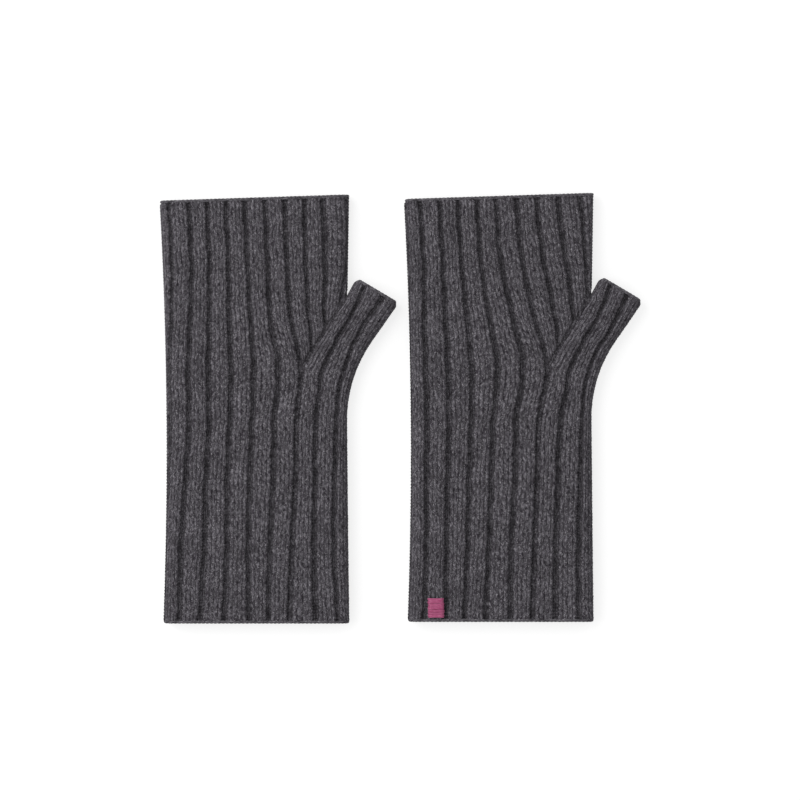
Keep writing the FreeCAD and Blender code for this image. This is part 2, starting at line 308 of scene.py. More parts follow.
@dataclass(frozen=True)
class Gauge:
    """The knit's repeats and relief, in millimetres unless named otherwise."""

    course: float = 1.55  # height of one row of stitches
    wales: int = 4  # raised wales in a rib
    purl_share: float = 0.1  # sunk wale each side of a valley's middle, as a share of a repeat
    valley_depth: float = 1.3
    valley_floor: float = 0.06  # half width of the valley's floor, as a share of a repeat
    shoulder: float = 0.18  # where the rib reaches its full height, as a share of a repeat
    ragged: float = 0.028  # how far stitches reach over the valley, as a share of a repeat
    crown: float = 0.3
    fold_swell: float = 0.4  # how far the knit swells out on a fold
    leg_depth: float = 0.4
    wale_gap: float = 0.36  # depth of the furrow between two raised wales
    furrow: float = 0.13  # half width of that furrow, as a share of a wale
    purl_bump: float = 0.45
    fold_easing: float = 0.65  # share of a valley's depth that is lost on a fold
    uneven: float = 0.2  # how much a valley's depth changes along it, as a share
    lining_bump: float = 0.12  # height of the stitches on the hidden face
    lining_swell: float = 0.5  # share of a valley's depth that the hidden face swells in by
    columns: int = 4  # mesh columns to a raised wale
    purl_columns: int = 2
    rows: int = 3  # mesh rows to a course

    def lanes(self, first: float, last: float) -> np.ndarray:
        """Column places over a run of rib repeats, closer together in the valleys.

        Args:
            first: first place wanted, in repeats.
            last: last place wanted, in repeats.

        Returns:
            Rising places, in repeats.
        """
        purl = np.arange(self.purl_columns) / self.purl_columns * self.purl_share
        middle = np.linspace(
            self.purl_share, 1 - self.purl_share, self.wales * self.columns, endpoint=False
        )
        repeat = np.concatenate([purl, middle, 1 - self.purl_share + purl])
        whole = np.concatenate([k + repeat for k in range(math.floor(first), math.ceil(last))])
        whole = np.append(whole, math.ceil(last))
        return whole[(whole >= first - TINY) & (whole <= last + TINY)]

    def wale(self, lane: np.ndarray) -> np.ndarray:
        """The wale count at a place across the ribs.

        Args:
            lane: places, in repeats.

        Returns:
            Wales, with a sunk one each side of every valley's middle.
        """
        q = lane - np.floor(lane)
        share = [0.0, self.purl_share, 1 - self.purl_share, 1.0]
        count = [0.0, 1.0, 1.0 + self.wales, 2.0 + self.wales]
        return np.floor(lane) * count[-1] + np.interp(q, share, count)

    def valley(self, lane: np.ndarray, row: np.ndarray | float = 0.0) -> np.ndarray:
        """How deep in a valley a place is.

        Args:
            lane: places, in repeats.
            row: places along the ribs, in courses; a rib bulges over its valley at each stitch.

        Returns:
            1 in a valley's middle, 0 on a rib.
        """
        q = lane - np.floor(lane)
        beside = np.where(q < 0.5, 0.0, 1.9)  # the two ribs' stitches don't stand side by side
        loose = 0.8 * ripple(row + 11.3 * np.round(lane), seed=31, wave=3.7)
        away = np.minimum(q, 1 - q) + self.ragged * (np.cos(2 * math.pi * row + beside) + loose)
        return 1.0 - smoothstep(self.valley_floor, self.shoulder, away)

    def depth(self, opened: np.ndarray) -> np.ndarray:
        """Depth of the valleys, which a fold pulls shallow."""
        return self.valley_depth * (1 - self.fold_easing * opened)

    def relief(
        self, lane: np.ndarray, row: np.ndarray, plain: np.ndarray, opened: np.ndarray
    ) -> np.ndarray:
        """Height of the knit's face, never above 0.

        Args:
            lane: places across the ribs, in repeats.
            row: places along them, in courses.
            plain: 1 where the face is smooth, as beside a join, and 0 elsewhere.
            opened: 1 on a fold, which pulls a valley open and shallow, and 0 elsewhere.

        Returns:
            Millimetres along the outward normal.
        """
        q = lane - np.floor(lane)
        sunk = self.valley(lane, row)
        on_rib = np.clip((q - self.purl_share) / (1 - 2 * self.purl_share), 0, 1)
        place = (on_rib * self.wales) % 1.0
        wale = np.floor(on_rib * self.wales) + 6 * np.floor(lane)
        fat = 0.8 + 0.2 * ripple(row + 7.3 * wale, seed=11, wave=5.3)
        legs = 0.45 + 0.55 * np.abs(np.sin(2 * math.pi * place)) ** 0.7
        slant = row - LEG_SLANT * np.abs(place - 0.5)
        beads = 0.6 + 0.4 * np.cos(2 * math.pi * slant)
        gap = np.exp(-((np.minimum(place, 1 - place) / self.furrow) ** 2))
        stitch = self.leg_depth * (legs * beads * fat - 1.0) - self.wale_gap * gap
        purl = self.purl_bump * (np.cos(2 * math.pi * row + 1.5 * np.floor(lane + 0.5)) - 1.0)
        face = stitch * (1 - sunk) + (purl - self.leg_depth) * sunk
        crown = -self.crown * (2 * on_rib - 1) ** 2
        depth = self.depth(opened) * (
            1 - self.uneven * (1 - plain) * ripple(row + 5.1 * lane, seed=41, wave=11.0)
        )
        swell = (self.fold_swell + self.leg_depth * sunk) * opened
        return face * (1 - plain) - self.leg_depth * plain + crown * (1 - opened) - depth * sunk + swell

    def inner_relief(self, lane: np.ndarray, row: np.ndarray) -> np.ndarray:
        """Height of the knit's hidden face, which swells in where the outer one is sunk."""
        beads = self.lining_bump * (np.cos(2 * math.pi * row) - 1.0)
        return beads - self.lining_swell * self.valley_depth * self.valley(lane)


@dataclass(frozen=True)
class Section:
    """Cross-section of a tube lying flat: back and palm, joined round both sides.

    Attributes:
        left: place of the left side in each row.
        right: place of the right side in each row.
        half: half the tube's height.
        side_round: how far in the rounding of a side reaches.
    """

    left: np.ndarray
    right: np.ndarray
    half: float
    side_round: float

    def way(self) -> np.ndarray:
        """Distance round the back from side to side, for each row."""
        return self.right - self.left + (math.pi - 2) * self.side_round

    def around(self, across: np.ndarray) -> np.ndarray:
        """Distance round the back from the left side to a place seen from above.

        Args:
            across: place in each row.

        Returns:
            Distances round the back.
        """
        r = self.side_round
        near = r * np.arccos(np.clip(1 - (across - self.left) / r, 0, 1))
        far = r * np.arccos(np.clip(1 - (self.right - across) / r, 0, 1))
        flat = across - self.left + (math.pi / 2 - 1) * r
        from_right = self.way() - far
        return np.where(across < self.left + r, near, np.where(across > self.right - r, from_right, flat))

    def place(self, around: np.ndarray) -> tuple[np.ndarray, np.ndarray, np.ndarray, np.ndarray]:
        """Where points lie that are given by their distance round the tube.

        Args:
            around: distances from the left side, over the back, in rows; past the right side
                they run on over the palm.

        Returns:
            Place across, height over the tube's middle, and the outward normal's two parts.
        """
        r = self.side_round
        way = self.way()[:, None]
        on_back = around <= way
        a = np.where(on_back, around, 2 * way - around)
        near = np.clip(a / r, 0, math.pi / 2)
        far = np.clip((way - a) / r, 0, math.pi / 2)
        flat = np.clip(a - r * math.pi / 2, 0, (self.right - self.left)[:, None] - 2 * r)
        x = self.left[:, None] + r * (1 - np.cos(near)) + flat + r * np.cos(far)
        sign = np.where(on_back, 1.0, -1.0)
        z = sign * self.half * np.sin(near) * np.sin(far)
        nx = self.half * (np.cos(far) - np.cos(near))
        nz = sign * r * np.sin(near) * np.sin(far)
        size = np.maximum(np.hypot(nx, nz), TINY)
        return x, z, nx / size, nz / size


@dataclass
class Grid:
    """A surface as a grid of points, in metres, with what its material reads.

    Attributes:
        points: shape (rows, columns, 3).
        stitch: wale and course counts, shape (rows, columns, 2).
        sunk: depth in a valley from 0 to 1, shape (rows, columns); the materials darken by it as painted
            shade.
        keep: which cells are part of the surface, shape (rows - 1, columns - 1).
        inward: true if the faces look into the tube.
    """

    points: np.ndarray
    stitch: np.ndarray
    sunk: np.ndarray
    keep: np.ndarray | None = None
    inward: bool = False


def mesh_piece(name: str, grids: Sequence[Grid], material: bpy.types.Material) -> bpy.types.Object:
    """Makes one mesh object of several grids, welding points that coincide within each.

    Args:
        name: the piece's name.
        grids: its surfaces.
        material: its finish.

    Returns:
        The new object.
    """
    cells_each = np.array([grid.sunk.size for grid in grids], float)
    widths = cells_each / cells_each.sum()
    corners, face_starts, points, sunk, stitches, bakes = [], [], [], [], [], []
    count, loops, left = 0, 0, 0.0
    for grid, width in zip(grids, widths):
        rows, columns = grid.points.shape[:2]
        flat = grid.points.reshape(-1, 3)
        _, first, same = np.unique(np.round(flat / 1e-8), axis=0, return_index=True, return_inverse=True)
        ids = same.reshape(rows, columns)
        u, v = np.meshgrid(np.linspace(0.01, 0.99, columns), np.linspace(0.01, 0.99, rows))
        bake = np.stack([left + u * width, v], axis=-1).reshape(-1, 2)
        number = np.arange(rows * columns).reshape(rows, columns)
        cells = np.stack([number[:-1, :-1], number[:-1, 1:], number[1:, 1:], number[1:, :-1]], axis=-1)
        cells = cells.reshape(-1, 4)
        if grid.keep is not None:
            cells = cells[grid.keep.reshape(-1)]
        if grid.inward:
            cells = cells[:, ::-1]
        welded = ids.reshape(-1)[cells]
        distinct = welded != np.roll(welded, -1, axis=1)
        whole = distinct.sum(axis=1) >= 3
        cells, welded, distinct = cells[whole], welded[whole], distinct[whole]
        sizes = distinct.sum(axis=1)
        face_starts.append(loops + np.concatenate([[0], np.cumsum(sizes)[:-1]]))
        corners.append(welded[distinct] + count)
        stitches.append(grid.stitch.reshape(-1, 2)[cells[distinct]])
        bakes.append(bake[cells[distinct]])
        points.append(flat[first])
        sunk.append(grid.sunk.reshape(-1)[first])
        count += len(first)
        loops += int(sizes.sum())
        left += width
    mesh = bpy.data.meshes.new(name)
    mesh.vertices.add(count)
    mesh.vertices.foreach_set("co", np.concatenate(points).astype(np.float32).ravel())
    mesh.loops.add(loops)
    mesh.loops.foreach_set("vertex_index", np.concatenate(corners).astype(np.int32))
    starts = np.concatenate(face_starts).astype(np.int32)
    mesh.polygons.add(len(starts))
    mesh.polygons.foreach_set("loop_start", starts)
    for layer, values in (("knit", stitches), ("OFBake", bakes)):
        uv = mesh.uv_layers.new(name=layer)
        uv.data.foreach_set("uv", np.concatenate(values).astype(np.float32).ravel())
    attribute = mesh.attributes.new("sunk", "FLOAT", "POINT")
    attribute.data.foreach_set("value", np.concatenate(sunk).astype(np.float32))
    mesh.update(calc_edges=True)
    mesh.validate()
    mesh.shade_smooth()
    mesh.materials.append(material)
    obj = bpy.data.objects.new(name, mesh)
    bpy.context.scene.collection.objects.link(obj)
    log.info("%s: %d points", name, count)
    return obj


class Side(Enum):
    """The gloves, by where they lie in the picture."""

    LEFT = "left"
    RIGHT = "right"


@dataclass(frozen=True)
class Ribs:
    """The valleys of one glove's back, as they lie.

    Attributes:
        full: valleys from cuff to hand opening; the last one bounds the thumb strip.
        upper: valleys from the thumb strip to the hand opening.
        thumb: valleys of the thumb strip, as shares of its width by shares of its length.
    """

    full: tuple[Route, ...]
    upper: tuple[Route, ...]
    thumb: tuple[Route, ...]


LEVELS = (0.0, 40.0, 70.0, 100.0, 124.0, 150.0, 175.0, 206.0)  # heights up the glove, in millimetres


def routes(*lines: Sequence[float]) -> tuple[Route, ...]:
    """Routes through the standard levels, from each one's distances across the glove."""
    return tuple(Route(tuple(zip(LEVELS, line))) for line in lines)


RIBS = {
    Side.LEFT: Ribs(
        full=routes(
            (-37.9, -36.8, -34.8, -32.9, -33.4, -32.2, -31.6, -33.0),
            (-27.6, -25.2, -24.8, -23.2, -23.6, -23.1, -23.0, -24.2),
            (-15.6, -14.4, -14.2, -12.9, -12.3, -13.3, -13.5, -15.0),
            (-3.3, -3.9, -3.1, -2.0, -1.2, -2.8, -4.2, -5.7),
            (5.6, 6.8, 8.2, 8.9, 11.0, 6.6, 5.6, 4.2),
            (16.0, 17.6, 19.3, 19.8, 21.8, 17.0, 15.0, 13.9),
        ),
        upper=(
            Route(((125.0, 27.8), (140.0, 26.6), (159.0, 25.0), (182.0, 24.1), (206.0, 23.6))),
            Route(((140.0, 33.8), (150.3, 33.2), (163.0, 33.6), (182.0, 33.3), (206.0, 32.3))),
            Route(((145.0, 39.4), (156.0, 41.4), (165.0, 43.3), (178.0, 44.3), (206.0, 44.6))),
        ),
        thumb=(
            Route(
                ((0.0, 0.445), (0.24, 0.387), (0.42, 0.368), (0.59, 0.375))
                + ((0.7, 0.4), (0.79, 0.34), (0.87, 0.315), (1.0, 0.22))
            ),
            Route(
                ((0.0, 0.825), (0.24, 0.738), (0.42, 0.748), (0.59, 0.785))
                + ((0.7, 0.79), (0.79, 0.735), (0.87, 0.65), (1.0, 0.66))
            ),
        ),
    ),
    Side.RIGHT: Ribs(
        full=routes(
            (-37.9, -36.4, -36.6, -36.2, -36.9, -37.5, -37.7, -39.7),
            (-26.8, -26.6, -26.1, -25.4, -25.8, -27.1, -28.3, -30.0),
            (-17.8, -16.2, -15.5, -14.2, -14.2, -16.6, -19.0, -21.1),
            (-7.7, -5.7, -4.6, -3.6, -1.4, -5.8, -9.5, -11.6),
            (4.6, 5.2, 7.0, 7.6, 11.0, 5.6, 0.2, -2.5),
            (15.3, 16.7, 17.9, 18.9, 22.8, 16.2, 10.8, 7.6),
        ),
        upper=(
            Route(
                ((125.0, 28.8), (143.0, 27.2), (153.0, 25.7))
                + ((172.0, 21.8), (192.0, 18.9), (206.0, 17.5))
            ),
            Route(((140.0, 36.0), (153.0, 35.0), (172.0, 32.7), (192.0, 29.3), (206.0, 28.1))),
            Route(((150.0, 43.0), (162.0, 42.8), (172.0, 42.0), (192.0, 40.4), (206.0, 39.0))),
        ),
        thumb=(
            Route(
                ((0.0, 0.37), (0.42, 0.372), (0.59, 0.405), (0.7, 0.44))
                + ((0.79, 0.4), (0.87, 0.39), (1.0, 0.26))
            ),
            Route(
                ((0.0, 0.765), (0.24, 0.757), (0.42, 0.79), (0.7, 0.805))
                + ((0.79, 0.763), (0.87, 0.76), (1.0, 0.63))
            ),
        ),
    ),
}


class Layer(Enum):
    """The two layers of a glove as it lies."""

    BACK = "back"
    PALM = "palm"


@dataclass
class Glove:
    """One glove: its two tubes of knit, its seams and its cast-off edges.

    Attributes:
        side: which glove it is.
        outline: its outline as it lies.
        gauge: its stitches.
    """

    side: Side
    outline: Outline = field(default_factory=Outline)
    gauge: Gauge = field(default_factory=Gauge)
    palm_ribs: int = 8  # repeats from the thumb strip, over the palm, to the first valley
    thumb_side_ribs: int = 4  # repeats from the last valley, round the side, to the thumb strip
    tuck: float = 1.5  # how far the hand's knit runs on under the thumb strip
    lap: float = 0.5  # how far the thumb strip runs on under the hand's knit, below the crotch
    lap_depth: float = 0.06  # how far below it
    crotch_reach: float = 8.0  # size of the flat stretch that closes the crotch
    wander: float = 0.28  # how far a valley strays from its route
    wander_wave: float = 21.0  # length of one such swing
    join_ease: float = 0.4  # how far from a join it strays in full, in repeats
    end_ease: Point = (0.2, 1.2)  # distances from an open end where the relief starts and is full
    join_flat: float = 0.1  # width of the smooth knit at a join, in repeats
    meeting_ease: Point = (0.35, 1.5)  # as end_ease, for the line where hand and thumb strip meet
    meeting_lean: float = 0.55  # distance from that line, as a share of the height over it
    fold_ease: Point = (0.25, 1.35)  # where a fold's pull starts to fade and is gone, in roundings
    crotch_ease: Point = (0.25, 5.0)  # repeats from the join, and height, over which the stretch ends
    lap_ease: float = 3.0  # distance below the crotch where the lap is full
    cuff_draw: float = 0.1  # how far the cast-off edge draws the cuff in at each side
    limp: float = 0.03  # share of its height that the cloth sinks by halfway
    limp_waves: Point = (47.0, 63.0)  # lengths of the sag's slow waves, across and up

    def __post_init__(self) -> None:
        """Finds the cuff in the frame and numbers the valleys round the tube."""
        low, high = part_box(f"{self.side.value}_cuff_edge")
        self.centre = (low[0] + high[0]) / 2 / MM
        self.cuff = low[1] / MM
        self.ribs = RIBS[self.side]
        self.first = self.palm_ribs
        self.bound = self.first + len(self.ribs.full) - 1
        self.last = self.bound + len(self.ribs.upper)
        self.repeats = self.last + self.thumb_side_ribs

    def world(self, x: np.ndarray, y: np.ndarray, z: np.ndarray) -> np.ndarray:
        """Places points in the frame, in metres, from across, up and over the middle."""
        height = self.outline.height / 2
        return np.stack([x + self.centre, y + self.cuff, z + height], axis=-1) * MM

    def hand_section(self, heights: np.ndarray, inset: float) -> Section:
        """Cross-section of wrist and hand at given heights, with the thumb left out."""
        line = self.outline
        return Section(
            line.little_side(heights) + inset,
            line.hand_side(heights) - inset,
            line.height / 2 - inset,
            line.side_round - inset,
        )

    def hand_lines(self, heights: np.ndarray, section: Section) -> np.ndarray:
        """Where each valley lies round the hand, in order from the palm's end of the thumb strip.

        Args:
            heights: distances up the glove.
            section: its outer cross-section there.

        Returns:
            Distances round the tube, shape (rows, valleys), for two turns less a bit.
        """
        way = section.way()
        bound = section.around(self.ribs.full[-1].across(heights))
        full = [section.around(route.across(heights)) for route in self.ribs.full]
        upper = [section.around(route.across(heights)) for route in self.ribs.upper]
        palm = [-bound + (full[0] + bound) * k / self.palm_ribs for k in range(self.palm_ribs)]
        end = 2 * way - bound
        side = [
            upper[-1] + (end - upper[-1]) * k / self.thumb_side_ribs
            for k in range(1, self.thumb_side_ribs)
        ]
        lines = np.stack([*palm, *full, *upper, *side], axis=1)
        return np.concatenate([lines, lines + 2 * way[:, None]], axis=1)

    def stray(self, heights: np.ndarray, offsets: np.ndarray, seed: int) -> np.ndarray:
        """How far each valley strays from its route at each height, shape (heights, offsets)."""
        return self.wander * ripple(heights[:, None] + offsets[None, :], seed, self.wander_wave)

    def meeting_height(self, across: np.ndarray) -> np.ndarray:
        """Height of the line where the hand's ribs meet the thumb strip.

        Args:
            across: distances across the glove.

        Returns:
            Distances up it.
        """
        foot_y = self.outline.foot_height
        foot_x = float(self.ribs.full[-1].across(np.array([foot_y]))[0])
        x1, y1 = self.outline.crotch
        return foot_y + (across - foot_x) * (y1 - foot_y) / (x1 - foot_x)

    def hand_grid(self, layer: Layer, gauge: Gauge, inset: float) -> Grid:
        """One face of one layer of wrist and hand, without the thumb strip.

        Args:
            layer: back or palm.
            gauge: stitches, and how finely to mesh them.
            inset: 0 for the outer face, the knit's thickness for the inner one.

        Returns:
            The face.
        """
        length = (self.outline.little_top[1] + self.outline.thumb_side_top[1]) / 2
        count = round(length / gauge.course * gauge.rows)
        share = np.linspace(0, 1, count + 1)
        heights = share * length
        outer = self.hand_section(heights, 0.0)
        if layer is Layer.BACK:
            lanes = gauge.lanes(self.first - 3, self.last + 2)
            low, high = 0.0, 1.0
        else:
            lanes = gauge.lanes(self.last - 1, self.repeats + self.first + 1)
            low, high = 1.0, 2.0
        from_strip = np.minimum(np.abs(lanes - self.bound), np.abs(lanes - self.repeats))
        stray = self.stray(heights, 37.0 * np.round(lanes), 5) * smoothstep(0.0, self.join_ease, from_strip)
        way = outer.way()[:, None]
        around = np.clip(between(self.hand_lines(heights, outer), lanes) + stray, low * way, high * way)
        x, z, nx, nz = outer.place(around)
        x, z = x - nx * inset, z - nz * inset
        y = share[:, None] * self.outline.top(x)
        start, keep = np.zeros(len(lanes), int), np.ones((count, len(lanes) - 1), bool)
        meeting = self.meeting_height(x) - self.tuck
        strip = (lanes > self.bound - TINY) & (lanes < self.repeats + TINY)
        inside = strip & (from_strip > TINY)
        above = y >= meeting - TINY
        start[strip] = np.argmax(above[:, strip], axis=0)
        for column in np.flatnonzero(inside):
            row = start[column]
            y[:row, column] = meeting[row, column]
            for values in (x, z, nx, nz):
                values[:row, column] = values[row, column]
        first_row = np.minimum(start[:-1], start[1:]) - 1
        rows = np.arange(count)[:, None]
        keep &= ~((strip[:-1] & strip[1:])[None, :] & (rows < first_row[None, :]))
        gap = np.clip((y - self.meeting_height(x)) * self.meeting_lean, 0, None)
        beside = np.where(strip[None, :], 1 - smoothstep(*self.meeting_ease, gap), 0.0)
        ends = np.minimum(y, self.outline.top(x) - y)
        at_join = (1 - smoothstep(0.0, self.join_flat, from_strip)) * (y < self.outline.foot_height)
        plain = np.maximum.reduce([beside, 1 - smoothstep(*self.end_ease, ends), at_join])
        course = y / gauge.course
        lane = np.broadcast_to(lanes[None, :], y.shape)
        opened = self.on_fold(around, way, outer.side_round)
        # Beside the thumb strip the knit is marked sunk as well, so the material colours that join darker as
        # painted shade.
        sunk = np.maximum(gauge.valley(lane, course), beside)
        if inset == 0:
            lift = gauge.relief(lane, course, plain, opened)
            lift = lift - gauge.depth(opened) * beside * (1 - gauge.valley(lane, course))
            lift = lift * (1 - self.on_fold(around, way, self.crotch_reach) * beside)
        else:
            lift = gauge.inner_relief(lane, course)
        points = self.world(x + nx * lift, y, (z + nz * lift) * self.sag(x, y))
        stitch = np.stack([gauge.wale(lane), course], axis=-1)
        return Grid(points, stitch, sunk, keep, inward=inset > 0)

    def on_fold(self, around: np.ndarray, way: np.ndarray, side_round: float) -> np.ndarray:
        """How near a point is to the fold along either side.

        Args:
            around: distances round the tube.
            way: distance from side to side, in rows.
            side_round: how far in the rounding reaches.

        Returns:
            1 on the fold, falling to 0 on the flat.
        """
        place = around % way
        away = np.minimum(place, way - place)
        near, far = self.fold_ease
        return 1 - smoothstep(near * side_round, far * side_round, away)

    def sag(self, x: np.ndarray, y: np.ndarray) -> np.ndarray:
        """Slow unevenness of the cloth as it lies.

        Args:
            x: distances across the glove.
            y: distances up it.

        Returns:
            What the cloth's height over the glove's middle is multiplied by, never above 1.
        """
        seed = 21 if self.side is Side.LEFT else 22
        across, up = self.limp_waves
        wave = ripple(x + 0.4 * y, seed, across) + ripple(y - 0.3 * x, seed + 10, up)
        return 1 - self.limp * (1 + np.clip(wave / 2, -1, 1))

    def strip_section(self, share: np.ndarray, inset: float) -> tuple[Section, np.ndarray, np.ndarray]:
        """Cross-section of the thumb strip, from cuff to thumb opening.

        Args:
            share: shares of the strip's length.
            inset: how far inside the outer face.

        Returns:
            The section, measured along each row from the strip's left end, that end, and the
            direction of each row, seen from above.
        """
        line = self.outline
        left = line.meeting(self.ribs.full[-1])
        right = line.thumb_outer()
        ends, others = left.at(share), right.at(share)
        run = others - ends
        width = np.hypot(run[:, 0], run[:, 1])
        near = line.hand_side(ends[:, 1]) - ends[:, 0]
        below = ends[:, 1] < line.crotch[1]
        turned = np.where(below, np.arccos(np.clip(1 - near / line.side_round, 0, 1)), 0.0)
        lost = line.side_round * (1 - np.cos(turned))
        to_mouth = (1 - share) * right.length()
        drawn = line.corner_inset(to_mouth, line.thumb_corner)
        cuff = line.corner_inset(share * right.length(), line.corner)
        section = Section(
            -lost + np.where(below, 0.0, drawn) + inset,
            width - drawn - cuff - inset,
            line.height / 2 - inset,
            line.side_round - inset,
        )
        return section, ends, run / width[:, None]

    def strip_grid(self, layer: Layer, gauge: Gauge, inset: float) -> Grid:
        """One face of one layer of the thumb strip, from the cuff to the thumb opening.

        Args:
            layer: back or palm.
            gauge: stitches, and how finely to mesh them.
            inset: 0 for the outer face, the knit's thickness for the inner one.

        Returns:
            The face.
        """
        line = self.outline
        length = (line.meeting(self.ribs.full[-1]).length() + line.thumb_outer().length()) / 2
        count = round(length / gauge.course * gauge.rows)
        share = np.linspace(0, 1, count + 1)
        outer, ends, along = self.strip_section(share, 0.0)
        way = outer.way()
        begin = outer.around(np.zeros_like(share) + TINY)
        lines = np.stack([begin, *self.strip_lines(share).T, way], axis=1)
        if layer is Layer.PALM:
            lines = 2 * way[:, None] - lines[:, ::-1]
        lanes = gauge.lanes(0, lines.shape[1] - 1)
        heights = share * length
        from_side = np.minimum(lanes, lanes[-1] - lanes)
        stray = self.stray(heights, 29.0 * np.round(lanes), 6) * smoothstep(0.0, self.join_ease, from_side)
        around = between(lines, lanes) + stray
        across, z, n_across, nz = outer.place(around)
        across, z = across - n_across * inset, z - nz * inset
        course = np.broadcast_to(heights[:, None] / gauge.course, across.shape)
        lane = np.broadcast_to(lanes[None, :], across.shape)
        to_end = np.minimum(heights, length - heights)[:, None]
        from_join = lanes if layer is Layer.BACK else lanes[-1] - lanes
        at_join = 1 - smoothstep(0.0, self.join_flat, from_join)[None, :]
        plain = np.maximum(1 - smoothstep(*self.end_ease, to_end), at_join)
        if inset == 0:
            opened = self.on_fold(around, way[:, None], outer.side_round)
            lift = gauge.relief(lane, course, plain, opened)
            side, rise = self.crotch_ease
            past = 1 - smoothstep(0.0, rise, (ends[:, 1] - line.crotch[1])[:, None])
            joined = (1 - smoothstep(0.0, side, from_join))[None, :] * past
            near = self.on_fold(around, way[:, None], self.crotch_reach)
            lift = lift * (1 - near * joined)
        else:
            lift = gauge.inner_relief(lane, course)
        below = smoothstep(0.0, self.lap_ease, (line.crotch[1] - ends[:, 1])[:, None])
        under = (from_join < TINY)[None, :] * below
        across = across + n_across * lift - self.lap * under
        z = z - self.lap_depth * nz * under
        x = ends[:, :1] + along[:, :1] * across
        y = ends[:, 1:] + along[:, 1:] * across
        points = self.world(x, y, (z + nz * lift) * self.sag(x, y))
        stitch = np.stack([gauge.wale(lane), course], axis=-1)
        return Grid(points, stitch, gauge.valley(lane, course), inward=inset > 0)

    def strip_lines(self, share: np.ndarray) -> np.ndarray:
        """Distances round the thumb strip of its valleys, shape (rows, valleys)."""
        outer = self.strip_section(share, 0.0)[0]
        return np.stack([outer.around(r.across(share) * outer.right) for r in self.ribs.thumb], axis=1)

    def cuff_ring(self, inset: float) -> tuple[Section, np.ndarray]:
        """The whole tube's section at the cuff, and its valleys.

        Args:
            inset: how far inside the outer face.

        Returns:
            The section, of one row, and the distances of its valleys round its outer face.
        """
        line = self.outline
        half = np.array([line.cuff_half - self.cuff_draw])
        whole = Section(-half, half, line.height / 2, line.side_round)
        foot = np.zeros(1)
        hand = self.hand_section(foot, 0.0)
        turn = self.hand_lines(foot, hand)[:, : self.repeats] % (2 * hand.way()[:, None])
        x, z = hand.place(turn)[:2]
        kept = x[0] < self.ribs.full[-1].across(foot) + 1
        strip, ends = self.strip_section(foot, 0.0)[:2]
        thumb = np.array([float((ends[:, 0] + r.across(foot) * strip.right)[0]) for r in self.ribs.thumb])
        xs = np.concatenate([x[0][kept], thumb, thumb])
        on_back = np.concatenate([z[0][kept] >= 0, [True] * len(thumb), [False] * len(thumb)])
        around = np.array([whole.around(np.array([value]))[0] for value in xs])
        valleys = np.where(on_back, around, 2 * whole.way()[0] - around)
        inner = Section(-half + inset, half - inset, line.height / 2 - inset, line.side_round - inset)
        return inner, valleys


@dataclass(frozen=True)
class Chain:
    """A row of yarn loops laid along a line, as a seam or a cast-off edge has.

    Attributes:
        across: half its width, along the knit's face, in millimetres.
        through: half its depth, through the knit.
        loop: length of one loop.
        relief: how deep the loops are cut, as a share of its size.
        lean: how far a loop's middle runs ahead of its sides, in loops.
        around: mesh columns round it.
        rows: mesh rows to a loop.
    """

    across: float
    through: float
    loop: float
    relief: float = 0.3
    lean: float = 0.42
    around: int = 12
    rows: int = 6

    def build(
        self,
        name: str,
        line: Line,
        length: float,
        closed: bool,
        material: bpy.types.Material,
    ) -> bpy.types.Object:
        """Makes the chain along a line.

        Args:
            name: the piece's name.
            line: gives points, outward and sideways directions at distances, in millimetres.
            length: the line's length.
            closed: true where the line runs back into itself.
            material: the yarn.

        Returns:
            The new piece.
        """
        loops = max(round(length / self.loop), 3)
        along = np.linspace(0, length, loops * self.rows + 1)
        points, out, side = line(along)
        if closed:
            points[-1], out[-1], side[-1] = points[0], out[0], side[0]
        turn = np.linspace(0, 2 * math.pi, self.around + 1)
        turn[-1] = 0.0
        count = (along / length * loops)[:, None]
        chevron = self.lean * np.abs(np.sin(turn))[None, :]
        cut = 0.5 + 0.5 * np.cos(2 * math.pi * (count - chevron))
        parting = np.exp(-(((np.cos(turn)[None, :] - 1) / 0.05) ** 2)) * 0.5  # between a loop's sides
        size = 1 - self.relief * (1 - cut**0.6) * 0.8 - 0.25 * self.relief * parting
        if not closed:
            to_end = np.minimum(along, length - along)
            size = size * np.sqrt(np.clip(1 - (1 - np.clip(to_end / self.across, 0, 1)) ** 2, 0, 1))[:, None]
        part_out = (self.through * size * np.cos(turn))[:, :, None]
        part_side = (self.across * size * np.sin(turn))[:, :, None]
        surface = points[:, None, :] + part_out * out[:, None, :] + part_side * side[:, None, :]
        wide = np.broadcast_to(np.linspace(0, 4, self.around + 1)[None, :], size.shape)
        stitch = np.stack([wide, np.broadcast_to(count, size.shape)], axis=-1)
        # The cuts between loops are marked sunk, and the yarn's material darkens them as painted shade.
        grid = Grid(surface * MM, stitch, 0.35 * (1 - cut) * np.ones_like(size))
        return mesh_piece(name, [grid], material)


def frames(points: np.ndarray, out: np.ndarray) -> Frames:
    """Completes a line's points and outward directions with its sideways directions.

    Args:
        points: points along the line, shape (n, 3).
        out: outward unit directions.

    Returns:
        The points, the outward directions made square to the line, and the sideways ones.
    """
    run = unit(np.gradient(points, axis=0))
    side = unit(np.cross(out, run))
    return points, np.cross(run, side), side


@dataclass(frozen=True)
class Cut:
    """The flat size of one panel of knit, as it comes off the machine.

    Attributes:
        size: its greatest width and its length, in metres.
        area: its area, in square metres.
    """

    size: Point
    area: float

    def declare(self, piece: bpy.types.Object, rests_on: Sequence[bpy.types.Object]) -> None:
        """Takes a layer of knit cut to this size and the layers under it, and does nothing with them."""


